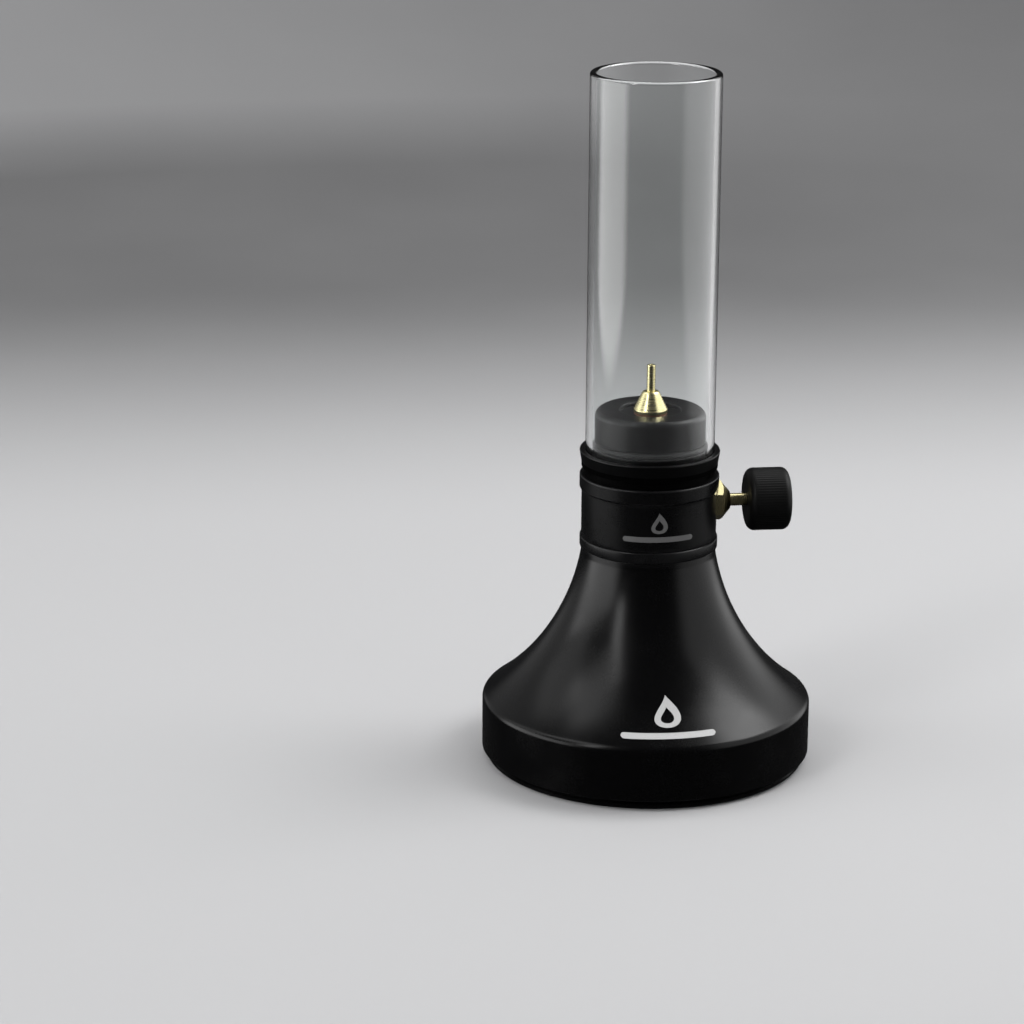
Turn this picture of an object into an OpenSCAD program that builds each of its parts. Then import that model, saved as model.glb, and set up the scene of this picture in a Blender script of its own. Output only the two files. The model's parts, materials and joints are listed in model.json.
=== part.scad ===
/* [Tank] */
// Radius of the round foot of the tank
tank_r = 40; // [36:0.5:44]
// Height at which the foot's straight side meets the flare
rim_h = 15.4; // [14:0.1:17]
// Radius of the rounding between the foot's side and the flare
rim_fillet = 2; // [1:0.1:3]
// Radius of the hollow curve of the flare
flare_r = 55.4; // [52:0.1:60]
// Outer radius of the neck at the top of the flare
neck_r = 16.3; // [15.8:0.1:16.8]
// Height at which the flare reaches the neck
neck_h = 52.1; // [51:0.1:53]
// Height of the shoulder that the lock ring stands on
shoulder_h = 53.5; // [53.3:0.1:54]
// Wall thickness of the tank
tank_wall = 2.5; // [2:0.1:3]

/* [Base plate] */
// Radius of the plate's flange
plate_r = 38.7; // [37:0.1:39.5]
// Thickness of the plate's flange
plate_t = 1.3; // [1:0.1:1.8]
// Width of the shadow gap between flange and tank
gap_h = 1; // [0.6:0.1:1.5]
// Radius of the thread between plate and tank
plate_thread_r = 34; // [33:0.1:35]
// Radius of the turned groove in the underside
groove_r = 31; // [28:0.1:33]
// Distance between the two spanner holes
spanner_spacing = 50; // [44:1:54]
// Radius of a spanner hole
spanner_hole_r = 1.25; // [1:0.05:1.4]
// Radius of the filling port
port_r = 3.25; // [3.2:0.05:3.5]

/* [Collar and valve] */
// Height of the valve's axis
valve_z = 64.2; // [64:0.1:64.6]
// Radius of the lock ring below the collar
lock_ring_r = 16.65; // [16.4:0.05:17]
// Radius of the raised band around the top of the collar
band_r = 16.8; // [16.5:0.1:17]
// Width across the flats of the gland nut
gland_flats = 8.6; // [8:0.1:9]
// Radius of the valve spindle
spindle_r = 1.5; // [1.3:0.1:1.5]
// Radius of the control knob
knob_r = 7.6; // [6:0.1:9]
// Length of the control knob
knob_len = 10.3; // [9:0.1:12]
// Distance from the lamp's axis to the knob's inner face
knob_x = 23.7; // [23:0.1:26]

/* [Burner and chimney] */
// Radius of the burner head
head_r = 13.3; // [12.8:0.1:13.4]
// Height of the top face of the burner head
head_top = 87.5; // [87:0.1:88.5]
// Radius of the jet's cone at its foot
jet_cone_r = 4.1; // [3.5:0.1:5]
// Radius of the jet tube
jet_tube_r = 1; // [0.8:0.1:1.2]
// Height of the tip of the jet tube
jet_top = 98.4; // [95:0.1:102]
// Outer radius of the glass chimney
glass_r = 15.5; // [15.4:0.05:15.55]
// Wall thickness of the glass chimney
glass_t = 1.6; // [1.4:0.1:1.6]
// Height of the chimney's upper rim
glass_top = 168.5; // [140:0.5:200]

/* [Hidden] */
$fn = 96;
// A small overlap that lets a cutter pass right through a face
over = 0.2;
// Steps in a drawn arc
arc_steps = 20;
// Edge break on turned parts
edge = 0.3;

// Heights of the stack, from the table upwards
tank_bottom = plate_t + gap_h;
lock_ring_top = 56.2;
collar_top = 71.6;
head_flange_top = 73.4;
glass_bottom = 75;

// Neck spigot of the tank, its bore, and the recess for the neck seal
spigot_r = 13.5;
spigot_top = 60;
neck_bore_r = 8;
ceiling_z = 48;
neck_seal_r = 11.2;
neck_seal_z = 58.4;

// Base plate: screwed boss, its seal groove, hollow and centre boss
plate_boss_top = 8.5;
plate_web_top = 5;
plate_hollow_r = 29;
seal_groove_r = 32;
seal_groove_z = 4.5;
seal_groove_h = 2;
port_depth = 2.5;
port_chamfer = 0.4;
valve_hole_r = 3;
valve_boss_r = 8;
valve_boss_top = 13;
spanner_depth = 2.5;
spanner_sink_r = 2;

// Filling valve, from its slotted mouth up to its spring cap
fill_bottom = port_chamfer + port_depth;
fill_top = 16;
fill_mouth_r = 1.6;
fill_seat_z = 8;
fill_guide_z = 6;
fill_guide_r = 1.05;
fill_bore_r = 2.2;
fill_cap_z = 14.8;
fill_cap_hole_r = 0.8;
fill_seal_z = 6.3;
fill_seal_h = 1.4;
fill_seal_r = 2.3;
slot_w = 0.8;
poppet_r = 1;
poppet_tip_z = 3.6;
poppet_head_r = 1.9;
poppet_head_z = 8.6;
poppet_head_h = 1;
poppet_guide_r = 0.9;
poppet_guide_h = 1.4;
spring_r = 1.5;
spring_wire_r = 0.2;
spring_turns = 5;

// Feed tube, hung from the valve block into the tank
feed_x = 4.5;
feed_r = 1.4;
feed_bore_r = 0.8;
feed_bottom = 20;
feed_top = 50;
filter_r = 2.4;
filter_bottom = 16.5;
filter_top = 22;

// Valve block
block_bottom = 46;
block_r = 12;
block_flange_top = 61.5;
block_stub_r = 9;
riser_r = 1;
riser_bottom = 63;
seat_hole_r = 0.55;
seat_x = 2.2;
chamber_r = 2.6;
gland_thread_x = 7;
gland_thread_r = 3.5;
gland_neck_x = 11.6;
gland_neck_r = 4;
gland_hex_x = 14;
gland_cone_x = 17.8;
gland_tip_x = 19.6;
gland_tip_r = 2.2;
collar_bore_r = 14.5;
collar_lip_r = 12.2;
collar_lip_z = 70;
band_z = 67.9;
band_slope = 0.4;
gland_hole_r = 5.4;

// Spindle, needle and knob, along the valve's axis
run_clear = 0.05;
spindle_x = 5;
thread_x = 7.6;
thread_len = 3;
thread_r = 2;
thread_stop_x = 11.5;
spindle_end_x = 31;
stem_seal_x = 14.8;
stem_seal_wire = 0.5;
needle_r = 0.8;
needle_tip_x = 1.08;
needle_tip_r = 0.1;
needle_slope = 0.375;
needle_end_x = 7.1;
knob_fillet = 1.8;
grub_x = 27.2;
grub_r = 1;
grub_len = 3.6;
grub_flats = 0.9;
grub_socket = 1.4;

// Burner head and jet
head_recess_r = 7.4;
head_recess = 1;
head_chamfer = 0.6;
grip_groove_z = 78.3;
grip_groove_h = 1.7;
grip_groove_r = 12.3;
grip_wire = 0.75;
head_channel_r = 1.5;
jet_thread_z = 79;
jet_thread_r = 2.5;
jet_stem_z = 79.6;
jet_washer_t = 0.4;
jet_washer_r = 4;
jet_cone_top = 91.6;
jet_cone_top_r = 2.1;
jet_socket_z = 89;
jet_bore_r = 0.5;
tube_bore_r = 0.35;
head_floor = head_top - head_recess;

// Glass holder
holder_floor_top = 74.4;
holder_top = 77.6;
holder_waist_r = 16.4;
holder_lip_r = 16.86;
holder_bore_r = 15.6;
gasket_bore_r = 13.6;
glass_edge = 0.4;

// Centre of the flare's curve, from its two ends and its radius
flare_mid = [(tank_r + neck_r) / 2, (rim_h + neck_h) / 2];
flare_half = norm([tank_r - neck_r, neck_h - rim_h]) / 2;
flare_side = [neck_h - rim_h, tank_r - neck_r] / (2 * flare_half);
flare_c = flare_mid + sqrt(pow(flare_r, 2) - pow(flare_half, 2)) * flare_side;

// Centre of the rim's rounding, tangent to the foot's side and to the flare
rim_cx = tank_r - rim_fillet;
rim_cz = flare_c[1] - sqrt(pow(flare_r + rim_fillet, 2) - pow(flare_c[0] - rim_cx, 2));
rim_angle = atan2(flare_c[1] - rim_cz, flare_c[0] - rim_cx);

// Angles on the flare's circle, seen from its centre
function flare_angle_at_r(r, radius) = 180 + acos((flare_c[0] - r) / radius);
function flare_angle_at_z(z, radius) = 180 + asin((flare_c[1] - z) / radius);

// Points of an arc, from angle a to angle b
function arc(c, r, a, b) = [
  for (i = [0 : arc_steps])
    let (t = a + (b - a) * i / arc_steps)
      [c[0] + r * cos(t), c[1] + r * sin(t)]
];

// A solid of revolution about the lamp's axis, from points of radius and height
module turned(points) {
  rotate_extrude() polygon(points);
}

// The same about the valve's axis, from points of radius and distance along +X
module turned_x(points) {
  translate([0, 0, valve_z]) rotate([0, 90, 0]) turned(points);
}

// A plain tube with its axis up
module tube(r_out, r_in, z0, z1) {
  turned([[r_in, z0], [r_out, z0], [r_out, z1], [r_in, z1]]);
}

// A cylinder along the valve's axis, between two distances
module rod_x(r, x0, x1) {
  translate([x0, 0, valve_z]) rotate([0, 90, 0]) cylinder(r = r, h = x1 - x0);
}

// A round-section seal ring
module seal(centre_r, wire_r, z) {
  translate([0, 0, z]) rotate_extrude() translate([centre_r, 0]) circle(r = wire_r);
}

// The turned trumpet: foot, flare, neck and spigot, bored out from below
module tank_body() {
  flare = arc(flare_c, flare_r, 180 + rim_angle, flare_angle_at_r(neck_r, flare_r));
  rim = arc([rim_cx, rim_cz], rim_fillet, 0, rim_angle);
  inner_r = flare_r + tank_wall;
  inner = arc(flare_c, inner_r, flare_angle_at_z(ceiling_z, inner_r), flare_angle_at_r(plate_thread_r, inner_r));
  color("#141416") turned(concat(
    [[tank_r - edge, tank_bottom], [tank_r, tank_bottom + edge]],
    rim,
    flare,
    [[neck_r, shoulder_h], [spigot_r, shoulder_h], [spigot_r, spigot_top], [neck_seal_r, spigot_top]],
    [[neck_seal_r, neck_seal_z], [neck_bore_r, neck_seal_z], [neck_bore_r, ceiling_z]],
    inner,
    [[plate_thread_r, tank_bottom]]
  ));
}

// The screwed plug that closes the tank from below, with the filling port in its centre
module base_plate() {
  color("#1b1b1e") difference() {
    turned([
      [port_r + port_chamfer, 0],
      [groove_r - port_chamfer, 0], [groove_r, port_chamfer], [groove_r + port_chamfer, 0],
      [plate_r - port_chamfer, 0], [plate_r, port_chamfer], [plate_r, plate_t - edge], [plate_r - edge, plate_t],
      [plate_r - gap_h, plate_t], [plate_r - gap_h, tank_bottom], [plate_thread_r, tank_bottom],
      [plate_thread_r, seal_groove_z], [seal_groove_r, seal_groove_z],
      [seal_groove_r, seal_groove_z + seal_groove_h], [plate_thread_r, seal_groove_z + seal_groove_h],
      [plate_thread_r, plate_boss_top], [plate_hollow_r, plate_boss_top],
      [plate_hollow_r, plate_web_top], [valve_boss_r, plate_web_top],
      [valve_boss_r, valve_boss_top], [valve_hole_r, valve_boss_top],
      [valve_hole_r, fill_bottom], [port_r, fill_bottom], [port_r, port_chamfer]
    ]);
    for (side = [-1, 1]) translate([side * spanner_spacing / 2, 0, 0]) {
      translate([0, 0, -over]) cylinder(r = spanner_hole_r, h = spanner_depth + over);
      cylinder(r1 = spanner_sink_r, r2 = spanner_hole_r, h = spanner_sink_r - spanner_hole_r);
    }
  }
}

module base_o_ring() {
  gap = plate_thread_r - seal_groove_r;
  color("#222222") seal(plate_thread_r - gap / 2, gap / 2 - 0.02, seal_groove_z + seal_groove_h / 2);
}

// The filling valve: a slotted brass body with a sprung poppet inside
module filler_valve_body() {
  color("#c79a3a") difference() {
    turned([
      [fill_mouth_r, fill_bottom], [valve_hole_r, fill_bottom],
      [valve_hole_r, fill_seal_z], [fill_seal_r, fill_seal_z],
      [fill_seal_r, fill_seal_z + fill_seal_h], [valve_hole_r, fill_seal_z + fill_seal_h],
      [valve_hole_r, fill_top], [fill_bore_r, fill_top], [fill_bore_r, fill_seat_z],
      [fill_guide_r, fill_seat_z], [fill_guide_r, fill_guide_z], [fill_mouth_r, fill_guide_z]
    ]);
    translate([-valve_hole_r, -slot_w / 2, fill_bottom - over])
      cube([2 * valve_hole_r, slot_w, slot_w + over]);
  }
}

module filler_o_ring() {
  gap = valve_hole_r - fill_seal_r;
  color("#222222") seal(valve_hole_r - gap / 2, gap / 2 - 0.01, fill_seal_z + fill_seal_h / 2);
}

module filler_poppet() {
  head_top_z = poppet_head_z + poppet_head_h;
  color("#b8903a") turned([
    [0, poppet_tip_z], [poppet_r - 0.2, poppet_tip_z], [poppet_r, poppet_tip_z + 0.2],
    [poppet_r, poppet_head_z], [poppet_head_r, poppet_head_z], [poppet_head_r, head_top_z],
    [poppet_guide_r, head_top_z], [poppet_guide_r, head_top_z + poppet_guide_h], [0, head_top_z + poppet_guide_h]
  ]);
}

module poppet_seal() {
  color("#222222") tube(poppet_head_r, poppet_r, fill_seat_z + run_clear, poppet_head_z);
}

// The coil is swept ring by ring along its helix
module filler_spring() {
  z0 = poppet_head_z + poppet_head_h + spring_wire_r;
  z1 = fill_cap_z - spring_wire_r;
  per_turn = 16;
  sides = 8;
  steps = spring_turns * per_turn;
  points = [
    for (i = [0 : steps]) for (j = [0 : sides - 1])
      let (a = 360 * i / per_turn, b = 360 * j / sides, r = spring_r + spring_wire_r * cos(b))
        [r * cos(a), r * sin(a), z0 + (z1 - z0) * i / steps + spring_wire_r * sin(b)]
  ];
  skin = [
    for (i = [0 : steps - 1]) for (j = [0 : sides - 1])
      let (k = (j + 1) % sides, low = i * sides, high = low + sides)
        [low + j, high + j, high + k, low + k]
  ];
  first = [for (j = [0 : sides - 1]) j];
  last = [for (j = [sides - 1 : -1 : 0]) steps * sides + j];
  color("silver") polyhedron(points = points, faces = concat([first], skin, [last]));
}

module filler_spring_cap() {
  color("#c79a3a") tube(fill_bore_r, fill_cap_hole_r, fill_cap_z, fill_top);
}

// The narrow ring between tank and collar
module lock_ring() {
  color("#1a1a1d") turned([
    [spigot_r, shoulder_h], [lock_ring_r - edge, shoulder_h], [lock_ring_r, shoulder_h + edge],
    [lock_ring_r, lock_ring_top - edge], [lock_ring_r - edge, lock_ring_top], [spigot_r, lock_ring_top]
  ]);
}

module neck_o_ring() {
  height = spigot_top - neck_seal_z;
  color("#222222") seal((neck_bore_r + neck_seal_r) / 2, height / 2 - 0.01, neck_seal_z + height / 2);
}

// The sleeve around the valve block, with a clearance hole for the gland nut
module collar() {
  color("#151518") difference() {
    turned([
      [spigot_r, lock_ring_top], [neck_r - edge, lock_ring_top], [neck_r, lock_ring_top + edge],
      [neck_r, band_z], [band_r, band_z + band_slope], [band_r, collar_top - band_slope],
      [band_r - band_slope, collar_top], [collar_lip_r, collar_top], [collar_lip_r, collar_lip_z],
      [collar_bore_r, collar_lip_z], [collar_bore_r, spigot_top], [spigot_r, spigot_top]
    ]);
    rod_x(gland_hole_r, block_r, band_r + over);
  }
}

// The brass block: screwed into the tank's neck, drilled for feed, needle and riser
module valve_block() {
  color("#c79a3a") difference() {
    turned([
      [0, block_bottom], [neck_bore_r, block_bottom], [neck_bore_r, spigot_top],
      [spigot_r, spigot_top], [spigot_r, block_flange_top], [block_r, block_flange_top],
      [block_r, collar_top], [block_stub_r, collar_top], [block_stub_r, glass_bottom], [0, glass_bottom]
    ]);
    translate([0, 0, riser_bottom]) cylinder(r = riser_r, h = glass_bottom - riser_bottom + over);
    rod_x(seat_hole_r, 0, seat_x + over);
    rod_x(chamber_r, seat_x, gland_thread_x + over);
    rod_x(gland_thread_r, gland_thread_x, block_r + over);
    rod_x(gland_neck_r + edge, gland_neck_x, spigot_r + over);
    translate([feed_x, 0, block_bottom - over]) cylinder(r = feed_r, h = feed_top - block_bottom + over);
    translate([feed_x, 0, block_bottom]) cylinder(r = feed_bore_r, h = valve_z - chamber_r / 2 - block_bottom);
  }
}

module feed_tube() {
  color("#c79a3a") translate([feed_x, 0, 0]) tube(feed_r, feed_bore_r, feed_bottom, feed_top);
}

module feed_filter() {
  color("#d8d2c4") translate([feed_x, 0, 0]) turned([
    [0, filter_bottom], [filter_r, filter_bottom], [filter_r, filter_top],
    [feed_r, filter_top], [feed_r, feed_bottom], [0, feed_bottom]
  ]);
}

// The needle only slides: its tail turns free in the spindle's nose
module needle() {
  shank_x = needle_tip_x + (needle_r - needle_tip_r) / needle_slope;
  color("#b9bcc0") turned_x([
    [0, needle_tip_x], [needle_tip_r, needle_tip_x], [needle_r, shank_x],
    [needle_r, needle_end_x], [0, needle_end_x]
  ]);
}

module valve_spindle() {
  socket_r = needle_r + run_clear;
  socket_x = needle_end_x + 2 * run_clear;
  color("#c9a145") turned_x([
    [socket_r, spindle_x], [spindle_r, spindle_x], [spindle_r, thread_x],
    [thread_r, thread_x], [thread_r, thread_x + thread_len], [spindle_r, thread_x + thread_len],
    [spindle_r, spindle_end_x], [0, spindle_end_x], [0, socket_x], [socket_r, socket_x]
  ]);
}

module spindle_o_ring() {
  centre_r = spindle_r + run_clear + stem_seal_wire + 0.02;
  color("#222222") translate([stem_seal_x, 0, valve_z]) rotate([0, 90, 0])
    seal(centre_r, stem_seal_wire, 0);
}

// Brass gland: screwed shank, neck, six flats and a conical nose around the spindle
module gland_nut() {
  groove_half = stem_seal_wire + 0.1;
  groove_r = spindle_r + run_clear + 2 * stem_seal_wire + 0.05;
  corner_r = gland_flats / 2 / cos(30);
  color("#c9a145") difference() {
    union() {
      rod_x(gland_thread_r, gland_thread_x, gland_neck_x);
      rod_x(gland_neck_r, gland_neck_x, gland_hex_x);
      translate([gland_hex_x, 0, valve_z]) rotate([0, 90, 0])
        cylinder(r = corner_r, h = gland_cone_x - gland_hex_x, $fn = 6);
      turned_x([[0, gland_cone_x], [gland_flats / 2, gland_cone_x], [gland_tip_r, gland_tip_x], [0, gland_tip_x]]);
    }
    rod_x(thread_r + run_clear, gland_thread_x - over, thread_stop_x);
    rod_x(spindle_r + run_clear, thread_stop_x - over, gland_tip_x + over);
    rod_x(groove_r, stem_seal_x - groove_half, stem_seal_x + groove_half);
  }
}

// The round knob, blind-bored for the spindle and cross-drilled for its screw
module control_knob() {
  end_x = knob_x + knob_len;
  side = knob_r - knob_fillet;
  color("#101010") difference() {
    turned_x(concat(
      [[0, knob_x]],
      arc([side, knob_x + knob_fillet], knob_fillet, -90, 0),
      arc([side, end_x - knob_fillet], knob_fillet, 0, 90),
      [[0, end_x]]
    ));
    rod_x(spindle_r, knob_x - over, spindle_end_x);
    translate([grub_x, 0, valve_z - knob_r - over]) cylinder(r = grub_r, h = knob_r + over - spindle_r / 2);
  }
}

module knob_grub_screw() {
  foot_z = valve_z - spindle_r - grub_len;
  color("#3a3a3c") translate([grub_x, 0, foot_z]) difference() {
    cylinder(r = grub_r, h = grub_len);
    translate([0, 0, -over]) cylinder(r = grub_flats / 2 / cos(30), h = grub_socket + over, $fn = 6);
  }
}

// The black plug inside the glass, screwed over the valve block's top
module burner_head() {
  grip_top = grip_groove_z + grip_groove_h;
  flange_r = neck_r - edge;
  color("#1c1c1e") turned([
    [block_stub_r, collar_top], [flange_r, collar_top], [flange_r, head_flange_top], [head_r, head_flange_top],
    [head_r, grip_groove_z], [grip_groove_r, grip_groove_z], [grip_groove_r, grip_top], [head_r, grip_top],
    [head_r, head_top - head_chamfer], [head_r - head_chamfer, head_top],
    [head_recess_r + edge, head_top], [head_recess_r, head_top - edge], [head_recess_r, head_floor],
    [jet_thread_r, head_floor], [jet_thread_r, jet_thread_z], [head_channel_r, jet_thread_z],
    [head_channel_r, glass_bottom], [block_stub_r, glass_bottom]
  ]);
}

module head_grip_ring() {
  color("#262626") seal(grip_groove_r + grip_wire, grip_wire, grip_groove_z + grip_groove_h / 2);
}

module jet_washer() {
  color("#b87333") tube(jet_washer_r, jet_thread_r, head_floor, head_floor + jet_washer_t);
}

// The brass cone that screws into the burner head
module jet_base() {
  foot_z = head_floor + jet_washer_t;
  color("#d0a548") turned([
    [jet_bore_r, jet_stem_z], [jet_thread_r, jet_stem_z], [jet_thread_r, foot_z],
    [jet_cone_r - 0.5, foot_z], [jet_cone_r, foot_z + 0.4], [jet_cone_top_r, jet_cone_top],
    [jet_cone_top_r - 0.5, jet_cone_top + 0.4], [jet_tube_r, jet_cone_top + 0.4],
    [jet_tube_r, jet_socket_z], [jet_bore_r, jet_socket_z]
  ]);
}

module jet_tube() {
  color("#d0a548") turned([
    [tube_bore_r, jet_socket_z], [jet_tube_r, jet_socket_z], [jet_tube_r, jet_top - 0.15],
    [jet_tube_r - 0.15, jet_top], [tube_bore_r, jet_top]
  ]);
}

// The shallow cup that the chimney stands in
module holder_ring() {
  color("#151518") turned([
    [head_r, head_flange_top], [holder_waist_r, head_flange_top], [holder_waist_r, holder_floor_top],
    [holder_lip_r, holder_top - edge], [holder_lip_r - 0.15, holder_top], [holder_bore_r + edge, holder_top],
    [holder_bore_r, holder_top - edge], [holder_bore_r, holder_floor_top], [head_r, holder_floor_top]
  ]);
}

module glass_gasket() {
  color("#303030") tube(glass_r, gasket_bore_r, holder_floor_top, glass_bottom);
}

// The chimney: a plain glass tube with eased ends
module glass_chimney() {
  bore_r = glass_r - glass_t;
  color("#e8f2ee", 0.35) turned([
    [bore_r, glass_bottom + glass_edge], [bore_r + glass_edge, glass_bottom],
    [glass_r - glass_edge, glass_bottom], [glass_r, glass_bottom + glass_edge],
    [glass_r, glass_top - glass_edge], [glass_r - glass_edge, glass_top],
    [bore_r + glass_edge, glass_top], [bore_r, glass_top - glass_edge]
  ]);
}

tank_body();
base_plate();
base_o_ring();
filler_valve_body();
filler_o_ring();
filler_poppet();
poppet_seal();
filler_spring();
filler_spring_cap();
lock_ring();
neck_o_ring();
collar();
valve_block();
feed_tube();
feed_filter();
needle();
valve_spindle();
spindle_o_ring();
gland_nut();
control_knob();
knob_grub_screw();
burner_head();
head_grip_ring();
jet_washer();
jet_base();
jet_tube();
holder_ring();
glass_gasket();
glass_chimney();
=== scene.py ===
import json
import math

import bmesh
import bpy
from mathutils import Matrix, Vector


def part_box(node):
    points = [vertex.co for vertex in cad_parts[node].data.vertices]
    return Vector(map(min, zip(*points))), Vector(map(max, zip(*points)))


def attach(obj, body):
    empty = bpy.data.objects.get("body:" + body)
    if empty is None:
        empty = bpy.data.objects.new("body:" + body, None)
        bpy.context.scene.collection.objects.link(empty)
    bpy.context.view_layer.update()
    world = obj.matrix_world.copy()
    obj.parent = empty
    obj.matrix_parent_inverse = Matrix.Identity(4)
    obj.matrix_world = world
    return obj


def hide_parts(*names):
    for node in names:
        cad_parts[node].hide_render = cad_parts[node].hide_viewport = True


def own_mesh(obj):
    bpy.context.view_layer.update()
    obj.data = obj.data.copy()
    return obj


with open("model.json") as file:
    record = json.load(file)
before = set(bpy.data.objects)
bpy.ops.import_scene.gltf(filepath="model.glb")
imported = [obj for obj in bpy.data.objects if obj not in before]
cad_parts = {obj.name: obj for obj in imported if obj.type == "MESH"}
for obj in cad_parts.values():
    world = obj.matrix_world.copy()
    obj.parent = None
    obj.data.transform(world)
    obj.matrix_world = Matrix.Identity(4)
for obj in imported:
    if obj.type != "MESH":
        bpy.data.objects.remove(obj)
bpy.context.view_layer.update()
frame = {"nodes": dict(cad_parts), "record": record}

# Outlines below are in millimetres, as in the drawing; meshes, lights and camera are in metres.
MM = 0.001

# Segments round a large turned piece, and round a small one
STEPS = 256
FINE_STEPS = 96

# Edges that turn more than this are drawn sharp
SHARP = math.radians(28)

# How much a broken edge on a turned piece is rounded
BREAK = 0.25

# A straight run of an outline longer than this is braced near its ends
LONG_RUN = 2.5


# ---------------------------------------------------------------- places, from the frame


def box_mm(node):
    """Lowest and highest corner of a CAD node, in millimetres."""
    lo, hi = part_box(node)
    return lo / MM, hi / MM


def middle(node):
    """Centre of a CAD node's box, in millimetres."""
    lo, hi = box_mm(node)
    return (lo + hi) / 2


TANK_LO, TANK_HI = box_mm("tank_body")
RING_LO, RING_HI = box_mm("lock_ring")
COLLAR_LO, COLLAR_HI = box_mm("collar")
HEAD_LO, HEAD_HI = box_mm("burner_head")
HOLDER_LO, HOLDER_HI = box_mm("holder_ring")
GLASS_LO, GLASS_HI = box_mm("glass_chimney")
WASHER_LO, WASHER_HI = box_mm("jet_washer")
CONE_LO, CONE_HI = box_mm("jet_base")
TUBE_LO, TUBE_HI = box_mm("jet_tube")
GLAND_LO, GLAND_HI = box_mm("gland_nut")
KNOB_LO, KNOB_HI = box_mm("control_knob")
VALVE_Z = middle("control_knob").z

# The trumpet's curve, between the foot's rim and the neck
NECK_R = 16.3
RIM_FILLET = 2.0
FLARE_R = 55.4
FLARE_C = Vector((70.919, 61.369))
TANK_WALL = 2.5

# Radius of the hidden spigot that the lock ring and the collar sit on
SPIGOT_R = 13.5

# Radius of the burner head, and of the hole in the holder's floor
HEAD_R = 13.3

# Printed ink: how far it stands off the surface, and how thick it is
INK_LIFT = 0.02
INK_THICKNESS = 0.06


# ---------------------------------------------------------------- shapes


def arc(centre, radius, start, end, steps=24):
    """Points of (radius, height) on an arc between two angles in degrees."""
    turns = [math.radians(start + (end - start) * i / steps) for i in range(steps + 1)]
    return [(centre[0] + radius * math.cos(t), centre[1] + radius * math.sin(t)) for t in turns]


def rounded(points, steps=5):
    """The outline with each corner that has a third value rounded to that radius.
    Each point comes back as (radius, height, 1 on a rounding and 0 elsewhere)."""
    outline = []
    for i, point in enumerate(points):
        corner = Vector(point[:2])
        if len(point) == 2:
            outline.append((corner.x, corner.y, 0.0))
            continue
        before = (Vector(points[i - 1][:2]) - corner).normalized()
        after = (Vector(points[(i + 1) % len(points)][:2]) - corner).normalized()
        half = before.angle(after) / 2
        reach = point[2] / math.tan(half)
        centre = corner + (before + after).normalized() * point[2] / math.sin(half)
        first = corner + before * reach - centre
        last = corner + after * reach - centre
        turn = math.copysign(math.pi - 2 * half, first.cross(last))
        for k in range(steps + 1):
            spoke = Matrix.Rotation(turn * k / steps, 2) @ first
            outline.append((centre.x + spoke.x, centre.y + spoke.y, 1.0))
    return outline


def braced(outline):
    """Adds a point close to each end of a long straight run, so that its shading stays flat
    and the wear and painted highlight of a rounded edge don't spread over it."""
    result = []
    for i, point in enumerate(outline):
        here = Vector(point[:2])
        run = Vector(outline[(i + 1) % len(outline)][:2]) - here
        result.append(point)
        if run.length > LONG_RUN:
            for reach in (0.1, run.length - 0.1):
                spot = here + run * reach / run.length
                result.append((spot.x, spot.y, 0.0))
    return result


def new_piece(name, mesh, sharp=SHARP):
    """A shown object from a bmesh, smooth between its sharp edges."""
    bmesh.ops.recalc_face_normals(mesh, faces=mesh.faces)
    data = bpy.data.meshes.new(name)
    mesh.to_mesh(data)
    mesh.free()
    data.shade_smooth()
    data.set_sharp_from_angle(angle=sharp)
    piece = bpy.data.objects.new(name, data)
    bpy.context.scene.collection.objects.link(piece)
    return piece


def turned(name, outline, steps=STEPS, shape=None):
    """A closed solid of revolution about Z. shape(radius, height, angle) may change a point's radius."""
    mesh = bmesh.new()
    edge = mesh.verts.layers.float.new("edge")
    rings = []
    for radius, height, wear_and_edge_highlight in braced(outline):
        ring = []
        for k in range(steps if radius > 1e-6 else 1):
            angle = 2 * math.pi * k / steps
            reach = shape(radius, height, angle) if shape else radius
            spot = Vector((reach * math.cos(angle), reach * math.sin(angle), height))
            vertex = mesh.verts.new(spot * MM)
            vertex[edge] = wear_and_edge_highlight
            ring.append(vertex)
        rings.append(ring)
    for low, high in zip(rings, rings[1:] + rings[:1]):
        for k in range(steps):
            n = k + 1
            loop = (low[k % len(low)], low[n % len(low)], high[n % len(high)], high[k % len(high)])
            corners = list(dict.fromkeys(loop))
            if len(corners) > 2:
                mesh.faces.new(corners)
    return new_piece(name, mesh)


def rod(name, radius, start, end, steps=FINE_STEPS):
    """A plain round cutter between two heights."""
    return turned(name, [(0, start, 0), (radius, start, 0), (radius, end, 0), (0, end, 0)], steps)


def lay_on_valve(piece):
    """Turns a piece made about Z so that it lies on the valve's axis, with its heights along +X."""
    lay = Matrix.Translation((0, 0, VALVE_Z * MM)) @ Matrix.Rotation(math.pi / 2, 4, "Y")
    piece.data.transform(lay)
    return piece


def apply_modifiers(piece, sharp=SHARP):
    """Makes the piece's modifiers part of its mesh."""
    graph = bpy.context.evaluated_depsgraph_get()
    piece.data = bpy.data.meshes.new_from_object(piece.evaluated_get(graph))
    piece.modifiers.clear()
    piece.data.shade_smooth()
    piece.data.set_sharp_from_angle(angle=sharp)
    return piece


def cut(piece, tool, operation="DIFFERENCE"):
    """Cuts the piece with another closed piece, which is used up."""
    modifier = piece.modifiers.new("cut", "BOOLEAN")
    modifier.object = tool
    modifier.operation = operation
    modifier.solver = "EXACT"
    apply_modifiers(piece)
    bpy.data.objects.remove(tool)
    return piece


def soften_edges(piece, width, angle):
    """Rounds the piece's edges that turn more than angle, in degrees, to a width in millimetres."""
    modifier = piece.modifiers.new("soften", "BEVEL")
    modifier.width = width * MM
    modifier.segments = 3
    modifier.limit_method = "ANGLE"
    modifier.angle_limit = math.radians(angle)
    return apply_modifiers(piece)


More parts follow.
